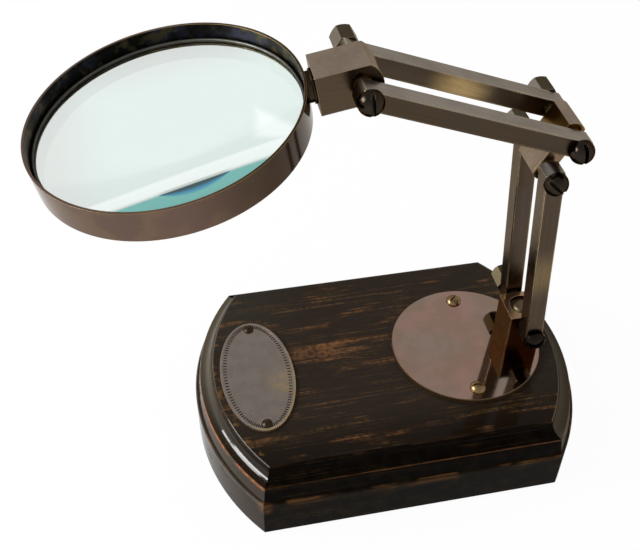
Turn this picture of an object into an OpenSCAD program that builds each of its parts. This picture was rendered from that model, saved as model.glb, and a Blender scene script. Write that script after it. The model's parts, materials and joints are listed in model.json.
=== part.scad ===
// Desk magnifier: a large lens on a double-bar arm with four friction pivots,
// standing on a moulded wooden base.
// The origin is the centre of the base's underside. X runs along the base
// towards the post, Y to the back and Z up. All sizes are in millimetres.

/* [Wooden base] */
// Length over the two bowed ends
base_length = 180; // [170:1:220]
// Width
base_width = 124; // [112:1:150]
// How far each end bows out past its corners
base_bow = 22; // [14:1:28]
// Height of the plain board under the moulding
plinth_h = 21; // [18:0.5:30]
// Bevel on the top edge of the plain board
plinth_bevel = 0.6; // [0.3:0.1:1.5]
// Step from the plain board in to the moulding
moulding_step = 1.2; // [0.8:0.1:2]
// Height of the steep band under the cove
band_h = 8.2; // [6:0.1:11]
// How far the steep band leans in
band_lean = 1.4; // [0.5:0.1:2.5]
// Radius of the rounded edge between band and cove
arris_r = 0.5; // [0.3:0.1:0.8]
// Radius of the cove
cove_r = 5.3; // [4:0.1:6.5]
// Flat ledge between the cove and the top's edge
cove_ledge = 0.4; // [0.2:0.1:1]
// Radius of the top's rounded edge
top_edge_r = 1; // [0.5:0.1:1.8]

/* [Disc and post] */
// How far all the brass work stands in front of the base's middle line
brass_shift = 2; // [0:0.5:4]
// Diameter of the disc
disc_d = 70; // [66:1:76]
// Thickness of the disc
disc_t = 2; // [1.5:0.1:3]
// Disc centre from the base's end, at the post
disc_inset = 50.8; // [50:0.2:53]
// Bevel on the disc's top edge
disc_bevel = 0.3; // [0.1:0.1:0.6]
// Radius on which the two disc screws sit
disc_screw_r = 27.9; // [24:0.1:30]
// Turn of the line through the disc screws, from square across the base
disc_screw_turn = 5.7; // [0:0.1:12]
// Side of the square stock of the post and of the elbow and lens blocks
stock_s = 16.4; // [15:0.2:18]
// Height of the post above the disc
post_h = 21; // [20:0.5:28]
// Post centre from the disc centre
post_offset = 25.2; // [25:0.2:26.6]
// Depth of the arm's pivot below the post's top
post_pivot_drop = 4.7; // [4.2:0.1:5.5]
// Diameter of the counterbore in the post's top
post_bore_d = 11.6; // [10.5:0.1:12.6]
// Brass left under the counterbore
post_floor_t = 5; // [3.5:0.1:5.6]

/* [Fixing bolt] */
// Diameter of the bolt
bolt_d = 6; // [5:0.1:7]
// Diameter of the boss on the bolt's head
bolt_boss_d = 8.4; // [7.6:0.1:9.4]
// Height of that boss above the head
bolt_boss_h = 1.4; // [1:0.1:1.6]
// Bevel on the boss
bolt_bevel = 1; // [0.6:0.1:1]
// Depth of the boss's end below the post's top
bolt_sink = 0.4; // [0.2:0.1:1]
// Diameter of the recess under the base
recess_d = 20; // [19:0.5:22]
// Depth of the recess under the base
recess_h = 9; // [8.5:0.5:14]
// Diameter of the washer under the base
bolt_washer_d = 17; // [15:0.5:18]
// Thickness of the washer under the base
bolt_washer_t = 1.2; // [0.8:0.1:2]
// Nut under the base, across its flats
bolt_nut_af = 10; // [9:0.5:12]
// Thickness of the nut under the base
bolt_nut_t = 5; // [4:0.1:5.6]

/* [Name plate] */
// Half length of the oval plate, across the base
plate_ry = 32.6; // [30:0.2:36]
// Half width of the oval plate, along the base
plate_rx = 17; // [15:0.2:18]
// Plate centre from the base's end, away from the post
plate_inset = 29.1; // [28:0.1:31]
// Thickness of the plate's field
plate_t = 0.9; // [0.7:0.1:1.5]
// Height of the raised rim above the field
plate_rim_h = 0.3; // [0.1:0.1:0.6]
// Width of the raised rim
plate_rim_w = 1.1; // [0.8:0.1:1.6]
// Number of ticks cut in the border
tick_n = 108; // [72:4:120]
// Length of a tick
tick_l = 1.6; // [1:0.1:2]
// Width of a tick
tick_w = 0.55; // [0.3:0.05:0.7]
// Depth of a tick
tick_h = 0.3; // [0.1:0.1:0.5]
// Distance between the plate's two screws
plate_screw_gap = 57.6; // [54:0.2:59]

/* [Wood screws] */
// Head diameter of the disc's screws
disc_screw_head_d = 7.2; // [5.5:0.1:8]
// Head height of the disc's screws
disc_screw_head_h = 2.6; // [1.6:0.1:3]
// Shank diameter of the disc's screws
disc_screw_d = 3; // [2.4:0.1:3.6]
// Head diameter of the plate's screws
plate_screw_head_d = 4.8; // [4:0.1:5.2]
// Head height of the plate's screws
plate_screw_head_h = 1.5; // [1.2:0.1:2]
// Shank diameter of the plate's screws
plate_screw_d = 2; // [1.6:0.1:2.4]
// Length of all these screws below their heads
wood_screw_l = 12; // [9:0.5:16]
// Turn of the slot in the disc's front screw
disc_front_slot_turn = 85; // [0:5:175]
// Turn of the slot in the disc's back screw
disc_back_slot_turn = 135; // [0:5:175]
// Turn of the slots in the plate's screws
plate_slot_turn = 130; // [0:5:175]

/* [Arms] */
// Side of the square bars
bar_s = 8; // [7:0.1:9]
// Lower bars, pivot to pivot
lower_arm_l = 91.5; // [80:0.5:110]
// Lean of the lower arm from upright, towards the lens
lower_arm_lean = 4.4; // [0:0.1:10]
// Elbow block, pivot to pivot
elbow_l = 16.2; // [14:0.1:20]
// Lean of the elbow block from upright, away from the lens
elbow_lean = 28; // [15:0.5:40]
// Upper bars, pivot to pivot
upper_arm_l = 89.5; // [80:0.5:110]
// Rise of the upper arm above level
upper_arm_rise = 21; // [10:0.5:35]
// From a bar's end pivot to its corners
bar_corner = 3.3; // [3:0.1:3.8]
// Swell of a bar's bowed end past its corners
bar_bow = 1; // [0.5:0.1:1.4]
// Bevel along the bars' and blocks' long edges
edge_bevel = 0.4; // [0.2:0.1:0.8]
// Thickness of the elbow block
elbow_t = 8; // [7:0.1:9]
// From the elbow block's pivots to its corners
elbow_corner = 4; // [3.6:0.1:4.4]
// Swell of the elbow block's bowed ends
elbow_bow = 1.8; // [1:0.1:2.2]

/* [Pivots] */
// Diameter of the pivot screws
pivot_d = 4; // [3.6:0.1:4.4]
// Diameter of the round slotted heads
pivot_head_d = 9.8; // [8.8:0.1:10.4]
// Straight rim of the round heads
pivot_rim_h = 1.6; // [1:0.1:2.4]
// Height of the dome above that rim
pivot_dome_h = 4.2; // [3.4:0.1:4.6]
// Width of the screwdriver slots
pivot_slot_w = 1.5; // [0.8:0.1:1.8]
// Depth of the screwdriver slots
pivot_slot_h = 3.2; // [1.2:0.1:3.6]
// Height of the dome on the post's pivot screw, whose head is flatter
post_dome_h = 2.6; // [2:0.1:4]
// Turn of the slot in the post's pivot screw, from level
post_slot_turn = 20; // [0:5:175]
// Turn of the slot in the elbow's lower screw
elbow_lower_slot_turn = 140; // [0:5:175]
// Turn of the slot in the elbow's upper screw
elbow_upper_slot_turn = 95; // [0:5:175]
// Turn of the slot in the lens block's screw
lens_slot_turn = 92; // [0:1:175]
// Cap nuts, across their flats
nut_af = 9; // [8.4:0.1:9.8]
// Length of the cap nuts
nut_l = 10.6; // [9.5:0.1:12]
// Bevel around the cap nuts' closed end
nut_bevel = 1.2; // [0.6:0.1:1.8]
// Diameter of the washers beside the blocks
washer_d = 7.6; // [6.6:0.1:8]
// Thickness of the washers beside the blocks
washer_t = 1.5; // [1:0.1:2]

/* [Lens head] */
// Dip of the lens head below level, away from the post
lens_dip = 10; // [0:0.5:25]
// Swivel of the lens head about its stem, towards the front
lens_swivel = 3.3; // [0:0.1:10]
// From the block's pivot to its flat end
block_reach = 16.6; // [15.6:0.1:22]
// From the block's pivot to its rear corners
block_corner = 3.4; // [2.8:0.1:4.2]
// Swell of the block's bowed rear end
block_bow = 4.1; // [2:0.1:5]
// Diameter of the collar on the swivel stud
collar_d = 11.5; // [10:0.1:12.4]
// Length of the collar, from its washer to the ring
collar_l = 1.45; // [1.2:0.05:4]
// Diameter of the bright washer beside the collar
stud_washer_d = 13; // [12.6:0.1:14.4]
// Thickness of the bright washer beside the collar
stud_washer_t = 0.8; // [0.5:0.1:1.5]
// Diameter of the stud inside the block
stud_d = 6; // [5:0.1:7]
// Length of the stud inside the block
stud_l = 9; // [7:0.1:9.6]
// Diameter of the stud's spigot through the ring
spigot_d = 4; // [3:0.1:5]
// Outer diameter of the ring
ring_d = 102; // [92:1:112]
// Wall of the ring
ring_wall = 1; // [0.8:0.1:1.5]
// Depth of the ring
ring_h = 12.7; // [11:0.1:15]
// Depth of the glass's edge below the ring's upper rim
glass_drop = 7.6; // [6.6:0.1:8.6]
// Thickness of the lens at its edge
glass_edge_t = 1.6; // [1:0.1:2.4]
// Thickness of the lens in its middle
glass_mid_t = 8.6; // [6:0.1:10]
// Diameter of the wire ring over the glass
wire_d = 1.4; // [1:0.1:1.8]
// Width of the seat turned inside the ring
seat_w = 1.4; // [1.2:0.1:2.4]
// Thickness of that seat
seat_t = 1; // [0.6:0.1:1.4]

/* [Clearances] */
// Radial gap of every screw, bolt and stud in its hole
hole_gap = 0.05; // [0.02:0.01:0.09]
// Side play between a moving block and its washers
side_play = 0.05; // [0.02:0.01:0.1]
// Radial gap between the lens and the ring
glass_gap = 0.3; // [0.1:0.05:0.4]
// Gap between the lens and what seats it
seat_gap = 0.05; // [0.02:0.01:0.1]
// Gap left past the tip of a screw or stud in its blind hole
tip_gap = 0.5; // [0.3:0.1:1]

/* [Hidden] */

$fn = 96;
fine_fn = 720;
// Overshoot of a cut past the face that it opens
cut = 1;

wood_colour = [0.17, 0.12, 0.09];
brass_colour = [0.50, 0.45, 0.40];
worn_brass_colour = [0.66, 0.58, 0.42];
dark_brass_colour = [0.20, 0.18, 0.16];
glass_colour = [0.85, 0.95, 0.92, 0.4];

// Heights
base_h = plinth_h + band_h + cove_r + top_edge_r;
disc_top = base_h + disc_t;
post_top = disc_top + post_h;
post_floor = disc_top + post_floor_t;

// Places along the base
disc_x = base_length / 2 - disc_inset;
plate_x = base_length / 2 - plate_inset;

// The bowed ends are arcs through the corners
bow_r = (pow(base_width / 2, 2) + pow(base_bow, 2)) / (2 * base_bow);
bow_centre = base_length / 2 - bow_r;

// Width across the blocks, the washers beside them and the bars
pair_gap = stock_s + 2 * (washer_t + side_play);
pair_w = pair_gap + 2 * bar_s;
nut_grip = nut_l - 2.4;

// Pivots in the plane of the arm, as [x, z]
post_pivot = [disc_x + post_offset, post_top - post_pivot_drop];
lower_arm_dir = 90 + lower_arm_lean;
elbow_lower_pivot = step(post_pivot, lower_arm_l, lower_arm_dir);
elbow_dir = 90 - elbow_lean;
elbow_upper_pivot = step(elbow_lower_pivot, elbow_l, elbow_dir);
upper_arm_dir = 180 - upper_arm_rise;
lens_pivot = step(elbow_upper_pivot, upper_arm_l, upper_arm_dir);

// Along the lens head's own line, from the pivot
stud_seat = block_reach + side_play + stud_washer_t;
ring_reach = stud_seat + collar_l + ring_d / 2;
ring_bore_r = ring_d / 2 - ring_wall;
glass_r = ring_bore_r - glass_gap;
glass_top = ring_h / 2 - glass_drop;
glass_sag = (glass_mid_t - glass_edge_t) / 2;
glass_curve_r = (pow(glass_r, 2) + pow(glass_sag, 2)) / (2 * glass_sag);
glass_mid = glass_top - glass_edge_t / 2;

function step(from, length, dir) = from + length * [cos(dir), sin(dir)];

// How far the glass has swelled from its edge at radius r
function swell(r) = sqrt(pow(glass_curve_r, 2) - pow(r, 2)) - (glass_curve_r - glass_sag);

function arc(centre, r, from, to, n) =
    [for (i = [0:n]) centre + r * [cos(from + (to - from) * i / n), sin(from + (to - from) * i / n)]];

function oval(rx, ry, n = 144) = [for (i = [0:n - 1]) [rx * cos(360 * i / n), ry * sin(360 * i / n)]];

// Moulded edge from the outer corner of the underside up to the top, as
// [distance in from the outline, height]
function moulding() =
    let (band_in = moulding_step + band_lean, band_top = plinth_h + band_h)
    concat(
        [[0, 0], [0, plinth_h - plinth_bevel], [plinth_bevel, plinth_h], [moulding_step, plinth_h]],
        arc([band_in + arris_r, band_top - arris_r], arris_r, 180, 90, 3),
        arc([band_in + arris_r, band_top + cove_r], cove_r, -90, 0, 10),
        arc([band_in + arris_r + cove_r + cove_ledge + top_edge_r, base_h - top_edge_r],
            top_edge_r, 180, 90, 4));

// Half of a moulded section that reaches out to x = reach
module moulded_half(reach) {
    edge = moulding();
    polygon(concat([[0, 0]], [for (p = edge) [reach - p[0], p[1]]], [[0, base_h]]));
}

// Square or oblong section with bevelled corners
module bevelled_section(w, h, bevel) {
    x = w / 2;
    y = h / 2;
    polygon([[x - bevel, -y], [x, bevel - y], [x, y - bevel], [x - bevel, y],
             [bevel - x, y], [-x, y - bevel], [-x, bevel - y], [bevel - x, -y]]);
}

// A bar end past its pivot at the origin: straight to the corners, then bowed
module bowed_end(t, corner, bow) {
    r = (t * t / 4 + bow * bow) / (2 * bow);
    translate([0, -t / 2]) square([corner, t]);
    intersection() {
        translate([0, -t / 2]) square([corner + bow, t]);
        translate([corner + bow - r, 0]) circle(r = r);
    }
}

// Bar or block with two pivots, lying along X from one at the origin
module link(l, t, w, corner, bow, bevel) {
    reach = corner + bow;
    difference() {
        intersection() {
            rotate([90, 0, 0]) linear_extrude(w, center = true) {
                translate([0, -t / 2]) square([l, t]);
                translate([l, 0]) bowed_end(t, corner, bow);
                mirror([1, 0]) bowed_end(t, corner, bow);
            }
            translate([-reach - cut, 0, 0]) rotate([90, 0, 90])
                linear_extrude(l + 2 * (reach + cut)) bevelled_section(w, t, bevel);
        }
        for (x = [0, l]) translate([x, 0, 0]) across(w) pivot_hole();
    }
}

// Turns a drill of the given reach to lie along Y, centred
module across(w) {
    translate([0, w / 2 + cut, 0]) rotate([90, 0, 0]) linear_extrude(w + 2 * cut) children();
}

module pivot_hole() {
    circle(d = pivot_d + 2 * hole_gap);
}

// Puts a part on the arm's plane, with its X axis along the given direction
module on_arm(pivot, dir) {
    translate([pivot[0], -brass_shift, pivot[1]]) rotate([0, -dir, 0]) children();
}

// Slotted domed head, standing on the plane z = 0
module domed_head(d, rim_h, dome_h, slot_w, slot_h, turn) {
    r = (d * d / 4 + dome_h * dome_h) / (2 * dome_h);
    difference() {
        rotate_extrude() {
            square([d / 2, rim_h]);
            intersection() {
                translate([0, rim_h]) square([d / 2, dome_h]);
                translate([0, rim_h + dome_h - r]) circle(r = r);
            }
        }
        rotate([0, 0, turn]) translate([-d, -slot_w / 2, rim_h + dome_h - slot_h])
            cube([2 * d, slot_w, slot_h + cut]);
    }
}

module wood_screw(head_d, head_h, d, turn) {
    rim = head_h / 5;
    domed_head(head_d, rim, head_h - rim, head_d / 6, head_h * 0.45, turn);
    translate([0, 0, -wood_screw_l]) cylinder(d = d, h = wood_screw_l + rim / 2);
}

module ring_washer(d, bore, t) {
    difference() {
        cylinder(d = d, h = t);
        translate([0, 0, -cut]) cylinder(d = bore, h = t + 2 * cut);
    }
}

// The screw's head bears on the front bar and its shank ends inside the nut
module pivot_screw(pivot, turn, dome_h = pivot_dome_h) {
    shank = pair_w + nut_grip - tip_gap;
    translate([pivot[0], -brass_shift - pair_w / 2, pivot[1]]) rotate([90, 0, 0]) {
        domed_head(pivot_head_d, pivot_rim_h, dome_h, pivot_slot_w, pivot_slot_h * dome_h / pivot_dome_h, turn);
        translate([0, 0, -shank]) cylinder(d = pivot_d, h = shank + pivot_rim_h / 2);
    }
}

module cap_nut(pivot) {
    corner_r = nut_af / 2 / cos(30);
    turned_r = corner_r + 0.05;
    translate([pivot[0], -brass_shift + pair_w / 2, pivot[1]]) rotate([-90, 0, 0])
        difference() {
            intersection() {
                cylinder(r = corner_r, h = nut_l, $fn = 6);
                rotate_extrude() polygon([[0, 0], [turned_r, 0], [turned_r, nut_l - nut_bevel],
                    [turned_r - nut_bevel, nut_l], [0, nut_l]]);
            }
            translate([0, 0, -cut]) cylinder(d = pivot_d + 2 * hole_gap, h = nut_grip + cut);
        }
}

// One washer on each side of what turns on the pivot, clamped against the bars
module pivot_washers(pivot) {
    bore = pivot_d + 2 * hole_gap;
    color(worn_brass_colour) for (side = [-1, 1])
        translate([pivot[0], -brass_shift + side * (pair_gap / 2 - washer_t), pivot[1]])
            rotate([-90 * side, 0, 0]) ring_washer(washer_d, bore, washer_t);
}

// Centre of one of the disc's two screws: side is -1 in front and 1 at the back
module at_disc_screw(side) {
    translate([disc_x, -brass_shift, 0]) rotate([0, 0, side * 90 - disc_screw_turn])
        translate([disc_screw_r, 0, 0]) children();
}

module at_disc_screws() {
    for (side = [-1, 1]) at_disc_screw(side) children();
}

module at_plate_screws() {
    for (side = [-1, 1]) translate([-plate_x, -brass_shift + side * plate_screw_gap / 2, 0]) children();
}

module at_post() {
    translate([post_pivot[0], -brass_shift, 0]) children();
}

module wood_base() {
    color(wood_colour) difference() {
        intersection() {
            translate([-base_length / 2, 0, 0]) rotate([90, 0, 90]) linear_extrude(base_length) {
                moulded_half(base_width / 2);
                mirror([1, 0]) moulded_half(base_width / 2);
            }
            for_each_end() rotate_extrude($fn = fine_fn / 3) moulded_half(bow_r);
        }
        at_post() {
            translate([0, 0, -cut]) cylinder(d = bolt_d + 2 * hole_gap, h = base_h + 2 * cut);
            translate([0, 0, -cut]) cylinder(d = recess_d, h = recess_h + cut);
        }
        at_disc_screws() screw_hole(disc_screw_d, disc_top);
        at_plate_screws() screw_hole(plate_screw_d, base_h + plate_t);
    }
}

// The left end is an arc about a centre on the right of the middle, and the other way round
module for_each_end() {
    intersection() {
        translate([bow_centre, 0, 0]) children();
        translate([-bow_centre, 0, 0]) children();
    }
}

// Blind hole in the wood for a screw whose head stands on z = seat
module screw_hole(d, seat) {
    depth = wood_screw_l + tip_gap;
    translate([0, 0, seat - depth]) cylinder(d = d + 2 * hole_gap, h = depth + cut);
}

// The long head fills the counterbore, and the arm's pivot screw passes through it
module post_bolt() {
    tip = recess_h - bolt_washer_t - bolt_nut_t - side_play;
    top = post_top - bolt_sink;
    r = post_bore_d / 2 - hole_gap;
    boss_r = bolt_boss_d / 2;
    color(dark_brass_colour) difference() {
        at_post() rotate_extrude() polygon([[0, tip], [bolt_d / 2, tip], [bolt_d / 2, post_floor], [r, post_floor],
            [r, top - bolt_boss_h], [boss_r, top - bolt_boss_h], [boss_r, top - bolt_bevel],
            [boss_r - bolt_bevel, top], [0, top]]);
        on_arm(post_pivot, 0) across(stock_s) pivot_hole();
    }
}

module post_bolt_washer() {
    color(dark_brass_colour) at_post() translate([0, 0, recess_h - bolt_washer_t])
        ring_washer(bolt_washer_d, bolt_d + 2 * hole_gap, bolt_washer_t);
}

module post_bolt_nut() {
    color(dark_brass_colour) at_post() translate([0, 0, recess_h - bolt_washer_t - bolt_nut_t])
        difference() {
            cylinder(d = bolt_nut_af / cos(30), h = bolt_nut_t, $fn = 6);
            translate([0, 0, -cut]) cylinder(d = bolt_d + 2 * hole_gap, h = bolt_nut_t + 2 * cut);
        }
}

module base_disc() {
    color(brass_colour) difference() {
        translate([disc_x, -brass_shift, base_h]) rotate_extrude() polygon([[0, 0], [disc_d / 2, 0],
            [disc_d / 2, disc_t - disc_bevel], [disc_d / 2 - disc_bevel, disc_t], [0, disc_t]]);
        at_disc_screws() screw_hole(disc_screw_d, disc_top);
        at_post() translate([0, 0, base_h - cut]) cylinder(d = bolt_d + 2 * hole_gap, h = disc_t + 2 * cut);
    }
}

module disc_screws() {
    color(dark_brass_colour) for (side = [-1, 1]) at_disc_screw(side) translate([0, 0, disc_top])
        wood_screw(disc_screw_head_d, disc_screw_head_h, disc_screw_d,
            side < 0 ? disc_front_slot_turn : disc_back_slot_turn);
}

module name_plate() {
    tick_r = plate_rim_w + 0.4 + tick_l / 2;
    color(brass_colour) difference() {
        translate([-plate_x, -brass_shift, base_h]) difference() {
            union() {
                linear_extrude(plate_t) polygon(oval(plate_rx, plate_ry));
                linear_extrude(plate_t + plate_rim_h) difference() {
                    polygon(oval(plate_rx, plate_ry));
                    polygon(oval(plate_rx - plate_rim_w, plate_ry - plate_rim_w));
                }
            }
            for (i = [0:tick_n - 1]) {
                a = 360 * (i + 0.5) / tick_n;
                translate([(plate_rx - tick_r) * cos(a), (plate_ry - tick_r) * sin(a), plate_t - tick_h])
                    rotate([0, 0, atan2(plate_rx * sin(a), plate_ry * cos(a))])
                        translate([-tick_l / 2, -tick_w / 2, 0]) cube([tick_l, tick_w, tick_h + cut]);
            }
            // Flat seats for the two screw heads
            for (side = [-1, 1]) translate([0, side * plate_screw_gap / 2, plate_t])
                cylinder(d = plate_screw_head_d + 0.4, h = plate_rim_h + cut);
        }
        at_plate_screws() screw_hole(plate_screw_d, base_h + plate_t);
    }
}

module name_plate_screws() {
    color(dark_brass_colour) at_plate_screws() translate([0, 0, base_h + plate_t])
        wood_screw(plate_screw_head_d, plate_screw_head_h, plate_screw_d, plate_slot_turn);
}

module post() {
    color(brass_colour) difference() {
        at_post() difference() {
            translate([0, 0, disc_top]) linear_extrude(post_h) bevelled_section(stock_s, stock_s, edge_bevel);
            translate([0, 0, post_floor]) cylinder(d = post_bore_d, h = post_top);
            cylinder(d = bolt_d + 2 * hole_gap, h = post_top);
        }
        on_arm(post_pivot, 0) across(stock_s) pivot_hole();
    }
}

module arm_bar(pivot, l, dir, side) {
    color(brass_colour) translate([0, side * (pair_gap + bar_s) / 2, 0]) on_arm(pivot, dir)
        link(l, bar_s, bar_s, bar_corner, bar_bow, edge_bevel);
}

module lower_bar_front() { arm_bar(post_pivot, lower_arm_l, lower_arm_dir, -1); }

module lower_bar_rear() { arm_bar(post_pivot, lower_arm_l, lower_arm_dir, 1); }

module upper_bar_front() { arm_bar(elbow_upper_pivot, upper_arm_l, upper_arm_dir, -1); }

module upper_bar_rear() { arm_bar(elbow_upper_pivot, upper_arm_l, upper_arm_dir, 1); }

module elbow_block() {
    color(brass_colour) on_arm(elbow_lower_pivot, elbow_dir)
        link(elbow_l, elbow_t, stock_s, elbow_corner, elbow_bow, edge_bevel);
}

module post_pivot_screw() { color(dark_brass_colour) pivot_screw(post_pivot, post_slot_turn, post_dome_h); }

module post_pivot_nut() { color(dark_brass_colour) cap_nut(post_pivot); }

module post_pivot_washers() { pivot_washers(post_pivot); }

module elbow_lower_screw() { color(dark_brass_colour) pivot_screw(elbow_lower_pivot, elbow_lower_slot_turn); }

module elbow_lower_nut() { color(dark_brass_colour) cap_nut(elbow_lower_pivot); }

module elbow_lower_washers() { pivot_washers(elbow_lower_pivot); }

module elbow_upper_screw() { color(dark_brass_colour) pivot_screw(elbow_upper_pivot, elbow_upper_slot_turn); }

module elbow_upper_nut() { color(dark_brass_colour) cap_nut(elbow_upper_pivot); }

module elbow_upper_washers() { pivot_washers(elbow_upper_pivot); }

module lens_pivot_screw() { color(dark_brass_colour) pivot_screw(lens_pivot, lens_slot_turn); }

module lens_pivot_nut() { color(dark_brass_colour) cap_nut(lens_pivot); }

module lens_pivot_washers() { pivot_washers(lens_pivot); }

// The lens head's line: X back towards the post, the ring on the far side
module on_lens_line() {
    translate([lens_pivot[0], -brass_shift, lens_pivot[1]]) rotate([0, -lens_dip, 0]) children();
}

module swivelled() {
    on_lens_line() rotate([lens_swivel, 0, 0]) children();
}

// Drill or stud along the lens head's line, from x = from to x = to
module along_line(from, to) {
    translate([from, 0, 0]) rotate([0, 90, 0]) linear_extrude(to - from) children();
}

module lens_block() {
    color(brass_colour) on_lens_line() difference() {
        intersection() {
            rotate([90, 0, 0]) linear_extrude(stock_s, center = true) {
                translate([-block_reach, -stock_s / 2]) square([block_reach, stock_s]);
                bowed_end(stock_s, block_corner, block_bow);
            }
            along_line(-block_reach - cut, block_corner + block_bow + cut)
                bevelled_section(stock_s, stock_s, edge_bevel);
        }
        across(stock_s) pivot_hole();
        along_line(-block_reach - cut, stud_l + tip_gap - block_reach) circle(d = stud_d + 2 * hole_gap);
    }
}

module swivel_washer() {
    color(worn_brass_colour) swivelled() along_line(-stud_seat, -block_reach - side_play) difference() {
        circle(d = stud_washer_d);
        circle(d = stud_d + 2 * hole_gap);
    }
}

module swivel_stud() {
    color(dark_brass_colour) swivelled() {
        difference() {
            along_line(-ring_reach, -stud_seat) circle(d = collar_d);
            translate([-ring_reach, 0, -ring_h]) cylinder(d = ring_d, h = 2 * ring_h);
        }
        along_line(-stud_seat - collar_l / 2, stud_l - block_reach) circle(d = stud_d);
        along_line(ring_bore_r - ring_reach, -stud_seat - collar_l / 2) circle(d = spigot_d);
    }
}

module at_ring() {
    swivelled() translate([-ring_reach, 0, 0]) children();
}

module lens_ring() {
    seat_r = ring_bore_r - seat_w;
    seat_top = glass_mid - glass_edge_t / 2 - swell(seat_r) - seat_gap;
    color(brass_colour) at_ring() difference() {
        rotate_extrude() polygon([[ring_bore_r, ring_h / 2], [ring_d / 2, ring_h / 2],
            [ring_d / 2, -ring_h / 2], [ring_bore_r, -ring_h / 2], [ring_bore_r, seat_top - seat_t],
            [seat_r, seat_top - seat_t], [seat_r, seat_top], [ring_bore_r, seat_top]]);
        along_line(ring_bore_r - cut, ring_d / 2 + cut) circle(d = spigot_d + 2 * hole_gap);
    }
}

module lens() {
    drop = glass_curve_r - glass_mid_t / 2;
    color(glass_colour) at_ring() translate([0, 0, glass_mid]) rotate_extrude() intersection() {
        translate([0, -drop]) circle(r = glass_curve_r, $fn = fine_fn);
        translate([0, drop]) circle(r = glass_curve_r, $fn = fine_fn);
        translate([0, -glass_mid_t]) square([glass_r, 2 * glass_mid_t]);
    }
}

module retaining_ring() {
    wire_r = ring_bore_r - seat_gap - wire_d / 2;
    color(worn_brass_colour) at_ring() rotate_extrude()
        translate([wire_r, glass_top + swell(wire_r - wire_d / 2) + seat_gap + wire_d / 2])
            circle(d = wire_d);
}

wood_base();
post_bolt();
post_bolt_washer();
post_bolt_nut();
base_disc();
disc_screws();
name_plate();
name_plate_screws();
post();
lower_bar_front();
lower_bar_rear();
post_pivot_screw();
post_pivot_nut();
post_pivot_washers();
elbow_lower_screw();
elbow_lower_nut();
elbow_lower_washers();
elbow_block();
upper_bar_front();
upper_bar_rear();
elbow_upper_screw();
elbow_upper_nut();
elbow_upper_washers();
lens_pivot_screw();
lens_pivot_nut();
lens_pivot_washers();
lens_block();
swivel_stud();
swivel_washer();
lens_ring();
lens();
retaining_ring();
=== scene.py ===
# %% [markdown]
# # A desk magnifier: finishes, light and camera
# The object is a large round lens in a thin brass ring. A jointed arm of square brass bars
# carries it over a black lacquered wooden base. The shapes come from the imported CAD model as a
# fixed frame, so this lesson is about finishes: rubbed lacquer, bronzed brass and clear glass.

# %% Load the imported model
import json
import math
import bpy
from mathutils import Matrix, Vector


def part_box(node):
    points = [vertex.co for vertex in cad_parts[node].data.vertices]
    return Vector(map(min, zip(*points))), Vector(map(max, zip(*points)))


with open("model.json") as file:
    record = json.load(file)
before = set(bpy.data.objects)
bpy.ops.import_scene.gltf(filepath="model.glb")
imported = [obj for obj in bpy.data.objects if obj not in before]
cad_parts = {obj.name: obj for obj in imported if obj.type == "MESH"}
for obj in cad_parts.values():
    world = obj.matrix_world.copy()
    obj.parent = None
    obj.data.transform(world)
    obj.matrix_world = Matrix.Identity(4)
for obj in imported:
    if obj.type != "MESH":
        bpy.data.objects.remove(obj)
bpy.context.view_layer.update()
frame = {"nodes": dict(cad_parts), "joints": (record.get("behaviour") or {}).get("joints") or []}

# %% [markdown]
# Every size below is in metres, because Blender and the CAD share one frame.

# %% Name the imported pieces
from types import SimpleNamespace

import bpy
from mathutils import Matrix, Vector

nodes = frame["nodes"]

# %% [markdown]
# ## The camera
# The photographer stood in front of the base, a little to the left, and looked down on it.
# The numbers come from fitting a camera to the photo's straight edges and circles. The
# camera's axes are built one by one, which shows what turn, drop and roll each do.

# %% Place the camera
CAMERA_PLACE = Vector((-0.09118, -0.28652, 0.37260))
CAMERA_TURN = math.radians(11.777)
CAMERA_DROP = math.radians(43.702)
CAMERA_ROLL = math.radians(0.606)
CAMERA_LENS = 53.31
SENSOR_WIDTH = 36
NEAREST_SEEN = 0.01

level_way = Vector((math.sin(CAMERA_TURN), math.cos(CAMERA_TURN), 0))
look_way = level_way * math.cos(CAMERA_DROP) - Vector((0, 0, math.sin(CAMERA_DROP)))
right_way = Vector((math.cos(CAMERA_TURN), -math.sin(CAMERA_TURN), 0))
upper_way = right_way.cross(look_way)
rolled_right = right_way * math.cos(CAMERA_ROLL) + upper_way * math.sin(CAMERA_ROLL)
rolled_upper = upper_way * math.cos(CAMERA_ROLL) - right_way * math.sin(CAMERA_ROLL)
camera_axes = Matrix((rolled_right, rolled_upper, -look_way)).transposed()

camera_data = bpy.data.cameras.new("photo_camera")
camera_data.sensor_fit = "HORIZONTAL"
camera_data.sensor_width = SENSOR_WIDTH
camera_data.lens = CAMERA_LENS
camera_data.clip_start = NEAREST_SEEN
camera = bpy.data.objects.new("photo_camera", camera_data)
camera.matrix_world = Matrix.Translation(CAMERA_PLACE) @ camera_axes.to_4x4()
bpy.context.scene.collection.objects.link(camera)
bpy.context.scene.camera = camera
print("camera looks along", [round(v, 3) for v in look_way])

# %% [markdown]
# ## Helpers for shader nodes
# A material is a small graph. Short helpers keep the cells below readable. The first ones add
# a node, and link a socket or write a plain value on it.

# %% Add and feed nodes
def add(tree, kind, **settings):
    """Adds one node to a tree and writes its settings."""
    node = tree.nodes.new(kind)
    for key, value in settings.items():
        setattr(node, key, value)
    return node


def feed(tree, socket, source):
    """Links a socket to an output, or writes a plain value on it."""
    if isinstance(source, bpy.types.NodeSocket):
        tree.links.new(source, socket)
    else:
        socket.default_value = source


def feed_all(tree, sockets, sources):
    """Feeds several sockets, each found by its name."""
    for label, source in sources.items():
        feed(tree, sockets[label], source)


print("helpers: add, feed, feed_all")

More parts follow.
